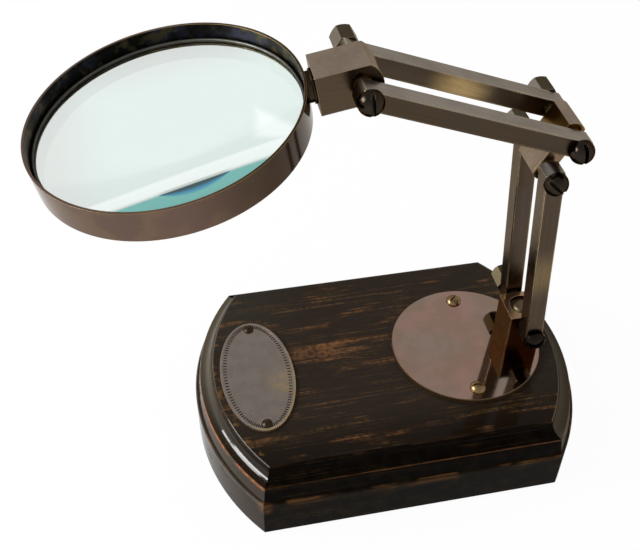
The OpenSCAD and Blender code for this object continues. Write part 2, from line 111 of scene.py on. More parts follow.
# %% [markdown]
# The next ones do sums. A mask is a number from 0 to 1 that says where an effect is. Masks
# that are multiplied leave what they share, and the greatest of several joins them.

# %% Sums with masks
def maths(tree, operation, first, second=0.0):
    """One Math node."""
    node = add(tree, "ShaderNodeMath", operation=operation)
    feed(tree, node.inputs[0], first)
    feed(tree, node.inputs[1], second)
    return node.outputs[0]


def chained(operation):
    """Makes a helper that takes any number of values together by one operation."""
    def helper(tree, *values):
        result = values[0]
        for value in values[1:]:
            result = maths(tree, operation, result, value)
        return result
    return helper


total, minus, product = chained("ADD"), chained("SUBTRACT"), chained("MULTIPLY")
greatest, least = chained("MAXIMUM"), chained("MINIMUM")
print("helpers: maths, total, minus, product, greatest, least")

# %% [markdown]
# A soft step turns any measure into a mask: a distance, a height, or a noise whose values lie
# round 0.5. The other helpers work on places, ways and colours.

# %% Steps, vectors and colours
def step(tree, value, low, high, bottom=0.0, top=1.0):
    """A soft step: bottom at the value low, top at the value high."""
    node = add(tree, "ShaderNodeMapRange", interpolation_type="SMOOTHSTEP")
    feed_all(tree, node.inputs, {"Value": value, "From Min": low, "From Max": high,
                                 "To Min": bottom, "To Max": top})
    return node.outputs["Result"]


def ranged(tree, mask, bottom, top):
    """A mask turned into a value: bottom where the mask is 0, top where it is 1."""
    return step(tree, mask, 0, 1, bottom, top)


def vectors(tree, operation, first, second=None, scale=None):
    """One Vector Math node; its number comes out for DOT_PRODUCT and LENGTH."""
    node = add(tree, "ShaderNodeVectorMath", operation=operation)
    feed(tree, node.inputs[0], first)
    if second is not None:
        feed(tree, node.inputs[1], second)
    if scale is not None:
        feed(tree, node.inputs["Scale"], scale)
    return node.outputs["Value" if operation in ("DOT_PRODUCT", "LENGTH") else "Vector"]


def dot(tree, first, second):
    """How far one vector reaches along another."""
    return vectors(tree, "DOT_PRODUCT", first, second)


def distance(tree, first, second):
    """The distance between two points."""
    return vectors(tree, "LENGTH", vectors(tree, "SUBTRACT", first, second))


def axes_of(tree, vector):
    """The X, Y and Z of a vector."""
    node = add(tree, "ShaderNodeSeparateXYZ")
    feed(tree, node.inputs[0], vector)
    return node.outputs


def own_point(tree):
    """A point's place on its own piece. It moves with the piece, so wear stays where it is."""
    return add(tree, "ShaderNodeTexCoord").outputs["Object"]


def mix(tree, share, under, over):
    """Mixes two colours by a share from 0 to 1."""
    node = add(tree, "ShaderNodeMix", data_type="RGBA")
    feed(tree, node.inputs[0], share)
    feed(tree, node.inputs[6], under)
    feed(tree, node.inputs[7], over)
    return node.outputs[2]


def screen(red, green, blue):
    """A colour as a screen shows it, 0 to 255, turned into the linear values that light uses."""
    shares = [channel / 255 for channel in (red, green, blue)]
    linear = [s / 12.92 if s <= 0.04045 else ((s + 0.055) / 1.055) ** 2.4 for s in shares]
    return (*linear, 1.0)


print("mid grey 128 is", round(screen(128, 128, 128)[0], 3), "in linear light")

# %% [markdown]
# ## Effects that several finishes share
# Brass and lacquer wear in the same ways: edges rub bright, tarnish clouds the flats, and
# tools and grain leave fine lines. Each effect is a node group with named inputs, built once
# and placed in each material with its own values. A group puts out only masks and heights,
# so the shader and its colours stay in the material, where they are easy to read.

# %% Start a node group
NUMBER = "NodeSocketFloat"
VECTOR = "NodeSocketVector"


def new_group(name, inputs, output):
    """An empty node group: its tree, the outputs of its input node, the input of its output node."""
    tree = bpy.data.node_groups.new(name, "ShaderNodeTree")
    for label, kind, value in inputs:
        socket = tree.interface.new_socket(name=label, in_out="INPUT", socket_type=kind)
        socket.default_value = value
    tree.interface.new_socket(name=output, in_out="OUTPUT", socket_type=NUMBER)
    return tree, add(tree, "NodeGroupInput").outputs, add(tree, "NodeGroupOutput").inputs[output]


def place(tree, group, values):
    """Places a group in a tree with its own values, and gives the group's one output."""
    node = add(tree, "ShaderNodeGroup", node_tree=group)
    feed_all(tree, node.inputs, values)
    return node.outputs[0]


def noise(tree, point, scale, detail):
    """A noise over the places of points, as a value round 0.5."""
    node = add(tree, "ShaderNodeTexNoise")
    feed_all(tree, node.inputs, {"Vector": point, "Scale": scale, "Detail": detail})
    return node.outputs["Fac"]


def inverse(tree, size):
    """The scale that goes with a size: 1 divided by it."""
    return maths(tree, "DIVIDE", 1.0, size)


print("helpers: new_group, place, noise, inverse")

# %% [markdown]
# **Rubbed edges.** Hands and cloths take the dark finish off the edges first. The Bevel node
# rounds the shading normal near an edge. Where that normal leaves the true one, an edge is
# near. A noise breaks the line up, because real wear skips.

# %% Group: rubbed edges
BEVEL_SAMPLES = 6
FLAT_COSINE, EDGE_COSINE = 0.995, 0.86

rubbed_edges, given, mask = new_group(
    "Rubbed edges",
    [("Width", NUMBER, 0.0006), ("Break up", NUMBER, 0.4), ("Patch size", NUMBER, 0.006)],
    "Mask")
rounded = add(rubbed_edges, "ShaderNodeBevel", samples=BEVEL_SAMPLES)
feed(rubbed_edges, rounded.inputs["Radius"], given["Width"])
true_way = add(rubbed_edges, "ShaderNodeNewGeometry").outputs["Normal"]
closeness = dot(rubbed_edges, rounded.outputs["Normal"], true_way)
near_edge = step(rubbed_edges, closeness, FLAT_COSINE, EDGE_COSINE)
patches = noise(rubbed_edges, own_point(rubbed_edges), inverse(rubbed_edges, given["Patch size"]), 4.0)
kept = step(rubbed_edges, patches, 0.35, 0.62)
gaps = minus(rubbed_edges, 1.0, product(rubbed_edges, kept, given["Break up"]))
feed(rubbed_edges, mask, product(rubbed_edges, near_edge, gaps))
print("group", rubbed_edges.name, "nodes", len(rubbed_edges.nodes))

# %% [markdown]
# ** Facing.** The piece's own normal, set against one direction, gives a mask of the sides that
# face that way. The brass uses it to paint light: the sides that face one way are painted lit,
# and the rest painted shaded. The mask turns with the piece when a joint moves.

# %% Group: facing
facing, given, mask = new_group(
    "Facing",
    [("Direction", VECTOR, (0, 0, 1)), ("From", NUMBER, 0.0), ("To", NUMBER, 1.0)],
    "Mask")
own_normal = add(facing, "ShaderNodeTexCoord").outputs["Normal"]
toward = dot(facing, own_normal, given["Direction"])
feed(facing, mask, step(facing, toward, given["From"], given["To"]))
print("group", facing.name, "nodes", len(facing.nodes))

# %% [markdown]
# **Clouds.** Old brass is never one colour: thin tarnish lies on it in soft clouds. A noise of
# a few millimetres to a few centimetres does this, with its size given in metres.

# %% Group: clouds
clouds, given, mask = new_group(
    "Clouds",
    [("Size", NUMBER, 0.01), ("From", NUMBER, 0.35), ("To", NUMBER, 0.65), ("Detail", NUMBER, 3.0)],
    "Mask")
cloud = noise(clouds, own_point(clouds), inverse(clouds, given["Size"]), given["Detail"])
feed(clouds, mask, step(clouds, cloud, given["From"], given["To"]))
print("group", clouds.name, "nodes", len(clouds.nodes))

# %% [markdown]
# **Drawn lines.** Files, emery and wood grain all leave lines along one way. The place of a
# point is split into a part along that way and a part across it. The first is
# stretched and the second squeezed, so a plain noise turns into long thin lines.

# %% Group: drawn lines
drawn_lines, given, height = new_group(
    "Drawn lines",
    [("Along", VECTOR, (1, 0, 0)), ("Length", NUMBER, 0.02), ("Width", NUMBER, 0.0005),
     ("Detail", NUMBER, 2.0)],
    "Height")
point = own_point(drawn_lines)
reach = dot(drawn_lines, point, given["Along"])
lengthwise = vectors(drawn_lines, "SCALE", given["Along"], scale=reach)
across = vectors(drawn_lines, "SUBTRACT", point, lengthwise)
squeezed = vectors(drawn_lines, "SCALE", across, scale=inverse(drawn_lines, given["Width"]))
stretched = vectors(drawn_lines, "SCALE", lengthwise, scale=inverse(drawn_lines, given["Length"]))
lines = noise(drawn_lines, vectors(drawn_lines, "ADD", squeezed, stretched), 1.0, given["Detail"])
feed(drawn_lines, height, lines)
print("group", drawn_lines.name, "nodes", len(drawn_lines.nodes))

# %% [markdown]
# ## Materials
# Each material starts as one Principled shader. Metals share their settings, so one helper
# writes them. The specular tint darkens the glancing reflection, which pure metal keeps white.
# Relief that is at most a hundredth of a millimetre deep is bump. It lies over slightly
# rounded edges, because no real arris is perfectly sharp.

# %% Start a material
EDGE_RADIUS = 0.0003
WHITE = (1.0, 1.0, 1.0, 1)


def new_material(name):
    """A material with only a Principled shader and its output: material, tree and sockets."""
    material = bpy.data.materials.new(name)
    material.use_nodes = True
    tree = material.node_tree
    tree.nodes.clear()
    surface = add(tree, "ShaderNodeBsdfPrincipled")
    output = add(tree, "ShaderNodeOutputMaterial")
    tree.links.new(surface.outputs["BSDF"], output.inputs["Surface"])
    return material, tree, surface.inputs


def metal(tree, sockets, colour, rough, edge_tint=WHITE):
    """Bare metal with a colour, a roughness and a tint for its glancing reflection."""
    feed_all(tree, sockets, {"Base Color": colour, "Metallic": 1.0, "Roughness": rough,
                             "Specular Tint": edge_tint})


def relief(tree, sockets, height, depth, edge_radius=EDGE_RADIUS):
    """Feeds a height map of the given depth in metres, over rounded edges, to the shader's normal."""
    eased = add(tree, "ShaderNodeBevel", samples=BEVEL_SAMPLES)
    feed(tree, eased.inputs["Radius"], edge_radius)
    bump = add(tree, "ShaderNodeBump")
    feed_all(tree, bump.inputs, {"Distance": depth, "Height": height, "Normal": eased.outputs["Normal"]})
    feed(tree, sockets["Normal"], bump.outputs["Normal"])


def dress(material, *names):
    """Gives a material to CAD nodes, through their own material slots."""
    for name in names:
        slots = nodes[name].material_slots
        for material_slot in slots:
            material_slot.material = material
        if not slots:
            nodes[name].data.materials.append(material)
    print(material.name, "on", len(names), "nodes")


print("helpers: new_material, metal, relief, dress")

# %% [markdown]
# ## Bronzed brass
# The bars, blocks, post and nuts are brass that was browned with acid and waxed. The side
# that faces one chosen way is painted a warm grey, as lit, the other sides are painted dark, as
# shade, and every arris is rubbed to bare gold. One function makes the finish. Its main
# arguments are the way of the tool marks and the painted lit side, which differs from piece to
# piece. A haze patch is a lighter spot on a painted-shade side; on the elbow it is painted light.

# %% Bronzed brass
GOLD = screen(205, 172, 110)
BRIGHT_GOLD = screen(246, 220, 160)
TARNISH_BROWN = screen(92, 70, 44)
MARK_BROWN = screen(40, 30, 22)
DULL_EDGE_TINT = (0.42, 0.38, 0.33, 1)
TOOL_MARK_DEPTH = 0.000003
HAZE_REACH = 0.017
HAZE_HEART = 0.002
FOOT_BAND = 0.002


def with_haze_and_painted_light(tree, body, haze, lines, painted_lit_side):
    """A body colour with one lighter patch on its painted-shade sides, haze on the bars and painted light
    on the elbow: haze is middle, share, colour.
    """
    middle, share, colour = haze
    near = step(tree, distance(tree, own_point(tree), middle), HAZE_REACH, HAZE_HEART, 0.0, share)
    ragged = step(tree, lines, 0.25, 0.6, 0.3, 0.8)
    # The sides that are not painted lit are painted shade.
    painted_shade_side = minus(tree, 1.0, painted_lit_side)
    return mix(tree, product(tree, near, ragged, painted_shade_side), body, colour)


def bronzed_brass(name, along, painted_lit_and_shade_colours, lit_way, lit, edge_share, haze=None, foot=None):
    """Browned brass with tool marks along one way, painted lit on the side that faces lit_way
    and painted shaded on the rest.

    lit holds the cosines at which the painted lit side starts and is full. foot is the height
    below which no edge is rubbed."""
    # The first colour is the painted lit copy of the brass, the second the painted shaded copy.
    light, dark = painted_lit_and_shade_colours
    material, tree, sockets = new_material(name)
    # The side that faces lit_way is painted lit, the rest painted shaded.
    painted_lit_side = place(tree, facing, {"Direction": lit_way, "From": lit[0], "To": lit[1]})
    tarnish = place(tree, clouds, {"Size": 0.014})
    lines = place(tree, drawn_lines, {"Along": along, "Length": 0.03, "Width": 0.00035})
    edges = place(tree, rubbed_edges, {"Width": 0.0008, "Break up": 0.75, "Patch size": 0.022})
    body = mix(tree, painted_lit_side, dark, light)
    if haze:
        body = with_haze_and_painted_light(tree, body, haze, lines, painted_lit_side)
    if foot:
        height = axes_of(tree, own_point(tree))["Z"]
        edges = product(tree, edges, step(tree, height, foot, foot + FOOT_BAND))
    brown = mix(tree, product(tree, tarnish, 0.17), body, TARNISH_BROWN)
    lined = mix(tree, step(tree, lines, 0.35, 0.75, 0.0, 0.16), brown, MARK_BROWN)
    rubbed = mix(tree, product(tree, edges, edge_share), lined, BRIGHT_GOLD)
    rough = total(tree, ranged(tree, tarnish, 0, 0.08), step(tree, lines, 0.3, 0.7, 0, 0.06), 0.2)
    metal(tree, sockets, rubbed, rough, DULL_EDGE_TINT)
    relief(tree, sockets, lines, TOOL_MARK_DEPTH)
    return material


print("gold in linear light", [round(v, 3) for v in GOLD[:3]])

# %% [markdown]
# The tool marks run along each bar, so the ways of the two pairs of bars come from their
# pivots in the record. The joints' places say where the pivots are.

# %% Ways of the arm
pivots = {joint["name"]: Vector(joint["pos_m"]) for joint in frame["joints"]}
lower_way = (pivots["elbow_fold"] - pivots["lower_arm_tilt"]).normalized()
elbow_way = (pivots["upper_arm_tilt"] - pivots["elbow_fold"]).normalized()
upper_way = (pivots["lens_tilt"] - pivots["upper_arm_tilt"]).normalized()
print("bars run along", [round(v, 3) for v in lower_way], [round(v, 3) for v in upper_way])

# %% [markdown]
# The lower bars and the post are painted lit on their left, the upper bars and the lens block
# on top, and the elbow on its right shoulder; their other sides are painted shaded. A lighter
# gold haze lies on the rear upper bar and on the front lower bar, and a patch of painted light
# lies low on the elbow's left face, where the window reaches past the upper bars.

# %% Bars
# Each brass piece is painted lit on the side that faces one of these ways and painted shaded on the rest;
# each pair of colours below is its painted lit and painted shaded copy.
LEFT_LIT = Vector((-0.55, -0.10, 0.83)).normalized()
TOP_LIT = Vector((0.05, -0.10, 0.99)).normalized()
BAR_PAINTED_LIT = screen(164, 156, 148)
BAR_PAINTED_SHADE = screen(80, 69, 60)
UPPER_BAR_PAINTED_SHADE = screen(71, 61, 51)
HAZE_GOLD = screen(194, 164, 112)
UPPER_HAZE = ((0.0251, 0.0077, 0.1757), 1.0, HAZE_GOLD)
LOWER_HAZE = ((0.0610, -0.0197, 0.0940), 0.3, HAZE_GOLD)

dress(bronzed_brass("bronzed_brass_lower_bars", lower_way, (BAR_PAINTED_LIT, BAR_PAINTED_SHADE),
                    LEFT_LIT, (0.1, 0.95), edge_share=0.7, haze=LOWER_HAZE),
      "lower_bar_front", "lower_bar_rear")
for which, edge_share in (("front", 0.55), ("rear", 1.0)):
    dress(bronzed_brass("bronzed_brass_upper_" + which, upper_way, (BAR_PAINTED_LIT, UPPER_BAR_PAINTED_SHADE),
                        TOP_LIT, (0.42, 0.85), edge_share, haze=UPPER_HAZE),
          "upper_bar_" + which)

# %% [markdown]
# The blocks and the post are squarer pieces of the same brass. The post's foot stands on the
# disc, out of reach of a cloth, so its lowest edges aren't rubbed.

# %% Blocks and post
RIGHT_LIT = Vector((0.40, -0.10, 0.91)).normalized()
# Painted lit and painted shaded copies of the brass of the blocks, the elbow and the post.
BLOCK_PAINTED_LIT = screen(164, 147, 132)
BLOCK_PAINTED_SHADE = screen(84, 71, 57)
ELBOW_PAINTED_SHADE = screen(112, 82, 42)
# A patch of painted light low on the elbow's left face.
ELBOW_PAINTED_LIGHT = ((0.0537, -0.0023, 0.1466), 1.8, screen(152, 134, 117))
POST_PAINTED_LIT = screen(204, 168, 130)
POST_PAINTED_SHADE = screen(66, 38, 17)
POST_FOOT = 0.002

dress(bronzed_brass("bronzed_brass_elbow", elbow_way, (BLOCK_PAINTED_LIT, ELBOW_PAINTED_SHADE),
                    RIGHT_LIT, (0.3, 0.8), edge_share=0.5, haze=ELBOW_PAINTED_LIGHT),
      "elbow_block")
dress(bronzed_brass("bronzed_brass_lens_block", Vector((1, 0, 0)), (BLOCK_PAINTED_LIT, BLOCK_PAINTED_SHADE),
                    TOP_LIT, (0.1, 0.6), edge_share=0.35),
      "lens_block")
dress(bronzed_brass("bronzed_brass_post", Vector((0, 0, 1)), (POST_PAINTED_LIT, POST_PAINTED_SHADE),
                    LEFT_LIT, (0.12, 1.1), edge_share=0.5, foot=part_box("post")[0].z + POST_FOOT),
      "post")

# %% [markdown]
# The cap nuts are painted lit on their left flats and painted shaded on the others. The post's
# nut sits low over the disc and is yellower than the other three.

# %% Cap nuts
SIDE_LIT = Vector((-0.95, -0.10, 0.30)).normalized()
# The flats that face this way are painted lit, the rest painted shaded.
NUT_PAINTED_LIT = screen(146, 140, 129)
NUT_PAINTED_SHADE = screen(88, 82, 71)
POST_NUT_PAINTED_LIT = screen(140, 128, 100)
POST_NUT_PAINTED_SHADE = screen(78, 68, 46)

dress(bronzed_brass("bronzed_brass_nuts", Vector((0, 1, 0)), (NUT_PAINTED_LIT, NUT_PAINTED_SHADE),
                    SIDE_LIT, (0.35, 0.9), edge_share=0.15),
      "elbow_lower_nut", "elbow_upper_nut", "lens_pivot_nut")
dress(bronzed_brass("bronzed_brass_post_nut", Vector((0, 1, 0)), (POST_NUT_PAINTED_LIT, POST_NUT_PAINTED_SHADE),
                    SIDE_LIT, (0.35, 0.9), edge_share=0.2),
      "post_pivot_nut")

# %% [markdown]
# ## Screws and washers
# The pivot screws are blackened, and the post's one is the glossiest, so that little but the
# window shows in its dome. The small wood screws are brown brass. The washers are bare brass
# that has gone dull. A lathe leaves them all even, so only clouds and edges vary.

# %% Turned brass
TURNING_DEPTH = 0.000002
DEEP_TARNISH = screen(20, 16, 12)


def turned_brass(name, body, worn, rough, edge_share):
    """Brass from the lathe: an even body colour, clouded, with rubbed edges."""
    material, tree, sockets = new_material(name)
    tarnish = place(tree, clouds, {"Size": 0.004})
    edges = place(tree, rubbed_edges, {"Width": 0.0004, "Break up": 0.8, "Patch size": 0.003})
    shaded = mix(tree, product(tree, tarnish, 0.35), body, mix(tree, 0.5, body, DEEP_TARNISH))
    rubbed = mix(tree, product(tree, edges, edge_share), shaded, worn)
    metal(tree, sockets, rubbed, ranged(tree, tarnish, rough, rough + 0.12), DULL_EDGE_TINT)
    fine = place(tree, clouds, {"Size": 0.0006, "From": 0.2, "To": 0.8})
    relief(tree, sockets, fine, TURNING_DEPTH)
    return material


print("helpers: turned_brass")

# %% Screws, stud, washers and wire
# Material, body colour, colour of its worn edges, roughness, share of wear, nodes
TURNED = [
    ("dark_brass", screen(54, 47, 40), screen(120, 108, 90), 0.14, 0.25,
     ["elbow_lower_screw", "elbow_upper_screw", "lens_pivot_screw"]),
    ("dark_brass_glossy", screen(38, 32, 27), screen(96, 86, 74), 0.05, 0.25, ["post_pivot_screw"]),
    ("dark_brass_stud", screen(62, 49, 38), screen(120, 98, 70), 0.22, 0.5,
     ["swivel_stud", "swivel_washer"]),
    ("disc_screw_brass", screen(142, 118, 84), screen(176, 148, 100), 0.24, 0.5, ["disc_screws"]),
    ("plate_screw_brass", screen(66, 53, 42), screen(104, 84, 60), 0.34, 0.5, ["name_plate_screws"]),
    ("worn_brass", screen(150, 130, 96), GOLD, 0.28, 0.5,
     ["post_pivot_washers", "elbow_lower_washers", "elbow_upper_washers", "lens_pivot_washers"]),
    ("worn_brass_wire", screen(96, 96, 90), screen(130, 128, 118), 0.35, 0.5, ["retaining_ring"]),
]
for name, body, worn, rough, edge_share, names in TURNED:
    dress(turned_brass(name, body, worn, rough, edge_share), *names)

# %% [markdown]
# ## Steel below the post
# The bolt in the post's counterbore and its nut under the base are steel that has gone
# brown-grey with age. Its clouds are rougher and redder than the rest.

# %% Steel
STEEL_GREY = screen(116, 98, 76)
RUST_BROWN = screen(94, 72, 50)
STEEL_BRIGHT = screen(160, 142, 116)
RUST_DEPTH = 0.000005


def aged_steel():
    """Brown-grey steel with faint clouds of rust."""
    material, tree, sockets = new_material("steel")
    rust = place(tree, clouds, {"Size": 0.005, "From": 0.45, "To": 0.75})
    edges = place(tree, rubbed_edges, {"Width": 0.0004})
    body = mix(tree, product(tree, rust, 0.6), STEEL_GREY, RUST_BROWN)
    rubbed = mix(tree, product(tree, edges, 0.3), body, STEEL_BRIGHT)
    metal(tree, sockets, rubbed, ranged(tree, rust, 0.42, 0.6))
    relief(tree, sockets, rust, RUST_DEPTH)
    return material


dress(aged_steel(), "post_bolt", "post_bolt_washer", "post_bolt_nut")

# %% [markdown]
# ## The polished disc
# The disc under the post is the one true mirror on the object. Its brown tint is a coloured
# lacquer over polished brass, and post, bars and nut show in it as dark shapes. Only its flat
# face is polished. The narrow wall round it is dull and dark. A bump of wide, very shallow
# waves bends the mirror images a little, as hand polishing does.

# %% Polished disc
DISC_ROSE = screen(180, 143, 130)
DISC_GREY = screen(164, 147, 133)
DISC_STAIN = screen(140, 124, 100)
DISC_WALL = screen(84, 64, 48)
WAVE_DEPTH = 0.000006


def mirror_disc():
    """Polished, tinted brass with a thin gold rim."""
    material, tree, sockets = new_material("polished_brass")
    haze = place(tree, clouds, {"Size": 0.03, "From": 0.3, "To": 0.7})
    edges = place(tree, rubbed_edges, {"Width": 0.0004, "Break up": 0.4})
    stain = place(tree, clouds, {"Size": 0.011, "From": 0.4, "To": 0.62})
    flat = place(tree, facing, {"Direction": (0, 0, 1), "From": 0.97, "To": 0.999})
    body = mix(tree, haze, DISC_ROSE, DISC_GREY)
    body = mix(tree, product(tree, stain, 0.3), body, DISC_STAIN)
    body = mix(tree, flat, DISC_WALL, body)
    rough = total(tree, ranged(tree, haze, 0.05, 0.09), ranged(tree, flat, 0.6, 0.0))
    metal(tree, sockets, mix(tree, product(tree, edges, 0.7), body, GOLD), rough)
    wave = place(tree, clouds, {"Size": 0.012, "From": 0.0, "To": 1.0})
    relief(tree, sockets, wave, WAVE_DEPTH)
    return material


dress(mirror_disc(), "base_disc")

# %% [markdown]
# ## The name plate
# An oval plate with a ring of engraved ticks. Its field is bare. The ticks were filled with
# black wax, floor and walls, and the finish is rubbed to gold along the rim. Depth below the
# plate's face finds the floors of the ticks, and the normal finds their walls. An oval
# distance from the plate's middle, 1 at its outline, says where the rim is.

# %% Measure the plate
plate_low, plate_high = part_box("name_plate")
plate_middle = (plate_low + plate_high) / 2
plate_half = (plate_high - plate_low) / 2
RIM_RISE = 0.0003
RIM_WIDTH = 0.0013
TICK_DEPTH = 0.0003
print("plate half sizes", [round(v, 4) for v in plate_half])


def oval_distance(tree, offset, half):
    """How far out a point lies in an oval of the given half sizes: 1 on its outline."""
    return vectors(tree, "LENGTH", vectors(tree, "MULTIPLY", offset, (1 / half.x, 1 / half.y, 0)))


def wax_mask(tree, offset, oval):
    """1 on the floors and walls of the ticks, where the wax is."""
    height = axes_of(tree, own_point(tree))["Z"]
    depth = minus(tree, plate_high.z - RIM_RISE, height)
    sunk = step(tree, depth, TICK_DEPTH * 0.1, TICK_DEPTH * 0.4)
    wall = place(tree, facing, {"Direction": (0, 0, 1), "From": 0.97, "To": 0.85})
    within_rim = oval_distance(tree, offset, plate_half - Vector((RIM_WIDTH, RIM_WIDTH, 0)))
    return greatest(tree, product(tree, sunk, step(tree, oval, 0.985, 0.97)),
                    product(tree, wall, step(tree, within_rim, 1.0, 0.995)))


# %% [markdown]
# The gold is strongest toward the plate's lower right, where a thumb rests: along the rim
# there, and in one cloudy spot on the field beside it.

# %% Name plate
PLATE_LIGHT = screen(150, 138, 130)
PLATE_SHADE = screen(136, 125, 116)
BLACK_WAX = screen(38, 30, 22)
GOLD_WAY = (0.9, -0.45, 0)
SPOT_PLACE = (0.012, -0.006, 0)
PLATE_EDGE_RADIUS = 0.00005


def plate_gold(tree, offset, oval, cloud):
    """Share of gold on the rim, on its edges and in the spot beside it."""
    toward_thumb = step(tree, dot(tree, offset, GOLD_WAY), 0.002, 0.016)
    rim = product(tree, step(tree, oval, 0.93, 0.97), ranged(tree, toward_thumb, 0.02, 0.3))
    from_spot = distance(tree, offset, SPOT_PLACE)
    spot = product(tree, step(tree, from_spot, 0.011, 0.002), ranged(tree, cloud, 0.1, 0.45))
    edges = place(tree, rubbed_edges, {"Width": 0.0006, "Break up": 0.3})
    edge = product(tree, edges, step(tree, oval, 0.955, 0.985, 0.2, 1.0),
                   ranged(tree, toward_thumb, 0.15, 1.0))
    return greatest(tree, rim, spot, edge)


def plate_brass():
    """Satin brass with waxed ticks and a rubbed rim."""
    material, tree, sockets = new_material("plate_brass")
    offset = vectors(tree, "SUBTRACT", own_point(tree), plate_middle)
    oval = oval_distance(tree, offset, plate_half)
    waxed = wax_mask(tree, offset, oval)
    cloud = place(tree, clouds, {"Size": 0.006})
    lines = place(tree, drawn_lines, {"Along": (0, 1, 0), "Length": 0.02, "Width": 0.0003})
    body = mix(tree, ranged(tree, cloud, 0, 0.5), PLATE_LIGHT, PLATE_SHADE)
    golden = mix(tree, plate_gold(tree, offset, oval, cloud), body, GOLD)
    rough = total(tree, step(tree, lines, 0.3, 0.7, 0.2, 0.3),
                  product(tree, step(tree, oval, 0.93, 0.97), 0.3), product(tree, waxed, 0.5))
    metal(tree, sockets, mix(tree, waxed, golden, BLACK_WAX), rough)
    relief(tree, sockets, lines, TOOL_MARK_DEPTH, PLATE_EDGE_RADIUS)
    return material


dress(plate_brass(), "name_plate")

# %% [markdown]
# ## The lens ring
# A thin deep band of bronzed brass. To tell its inside from its outside, the shader needs the
# ring's middle and axis. Both come from the lens, and the stem's way from the swivel joint.

# %% Measure the ring
ring_points = [v.co for v in nodes["lens"].data.vertices]
ring_middle = sum(ring_points, Vector()) / len(ring_points)
swivel = next(joint for joint in frame["joints"] if joint["name"] == "lens_swivel")
stem_way = -Vector(swivel["axis"]).normalized()
widest = max((p - ring_middle for p in ring_points), key=lambda p: abs(p.y))
ring_axis = stem_way.cross(widest).normalized()
ring_axis = ring_axis if ring_axis.z > 0 else -ring_axis
print("lens middle", [round(v, 4) for v in ring_middle], "axis", [round(v, 3) for v in ring_axis])

# %% [markdown]
# The outside is polished mauve-brown, with a painted dark reflection toward the stem. The
# inside was blackened against stray light, and has gone blotchy. The flat rims are rougher, and
# their edges are rubbed to gold near the stem, where the ring is held.

# %% Lens ring
RING_OUTSIDE = screen(104, 84, 74)
RING_CLOUD = screen(112, 92, 76)
# A painted dark reflection on the outside toward the stem.
RING_PAINTED_REFLECTION_BY_STEM = screen(52, 40, 29)
RING_INSIDE = screen(34, 34, 31)
RING_BLOTCH = screen(60, 61, 76)
RING_SPOT = screen(96, 88, 52)
RING_EDGE_TINT = (0.88, 0.85, 0.82, 1)
BAND_MARK_DEPTH = 0.000002


def ring_brass():
    """Mauve-brown outside with a painted dark reflection toward the stem, blackened inside, gold on the
    rims.
    """
    material, tree, sockets = new_material("ring_brass")
    offset = vectors(tree, "SUBTRACT", own_point(tree), ring_middle)
    along = vectors(tree, "SCALE", ring_axis, scale=dot(tree, offset, ring_axis))
    outward = vectors(tree, "NORMALIZE", vectors(tree, "SUBTRACT", offset, along))
    own_normal = add(tree, "ShaderNodeTexCoord").outputs["Normal"]
    side = dot(tree, outward, own_normal)
    inside = step(tree, side, -0.3, -0.6)
    stemward = dot(tree, outward, stem_way)
    blotch = place(tree, clouds, {"Size": 0.012, "From": 0.45, "To": 0.62})
    spot = place(tree, clouds, {"Size": 0.005, "From": 0.53, "To": 0.66})
    lines = place(tree, drawn_lines, {"Along": ring_axis, "Length": 0.02, "Width": 0.0005})
    edges = place(tree, rubbed_edges, {"Width": 0.0005, "Break up": 0.2})
    outer = mix(tree, blotch, RING_OUTSIDE, RING_CLOUD)
    # The outside is painted darker toward the stem, a painted dark reflection.
    outer = mix(tree, product(tree, step(tree, stemward, -0.1, 0.7), 0.9), outer, RING_PAINTED_REFLECTION_BY_STEM)
    inner = mix(tree, product(tree, spot, 0.7), mix(tree, blotch, RING_INSIDE, RING_BLOTCH), RING_SPOT)
    gold_share = product(tree, edges, step(tree, stemward, -0.6, 0.2, 0.1, 0.5))
    rubbed = mix(tree, gold_share, mix(tree, inside, outer, inner), GOLD)
    on_band = step(tree, maths(tree, "ABSOLUTE", side), 0.9, 0.98)
    rough = total(tree, ranged(tree, inside, 0.08, 0.3), step(tree, lines, 0.3, 0.7, 0, 0.06),
                  ranged(tree, on_band, 0.35, 0.0))
    metal(tree, sockets, rubbed, rough, RING_EDGE_TINT)
    relief(tree, sockets, lines, BAND_MARK_DEPTH)
    return material


dress(ring_brass(), "lens_ring")

# %% [markdown]
# ## The wooden base
# A dark lacquer over brown wood. Years of handling have rubbed it through along the grain on
# the top, and along the arrises of the moulding. All of this depends on where a point lies on
# the base. Two measures tell: how far inside the outline the point is, and how high. The
# outline is two straight sides and two ends that bow out by 22 mm. The plain board below the
# moulding is 21 mm high.

# %% Measure the base
wood_low, wood_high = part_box("wood_base")
half_length, half_width, top_height = wood_high
BOW = 0.022
BOARD_TOP = 0.021
bow_radius = (half_width ** 2 + BOW ** 2) / (2 * BOW)
bow_middle = half_length - bow_radius
print("base", [round(v, 4) for v in wood_high - wood_low], "end radius", round(bow_radius, 4))


def inside_bow(tree, point, middle):
    """How far a point lies inside the arc of an end whose centre is at middle on the X axis."""
    flat = vectors(tree, "MULTIPLY", vectors(tree, "SUBTRACT", point, (middle, 0, 0)), (1, 1, 0))
    return minus(tree, bow_radius, vectors(tree, "LENGTH", flat))


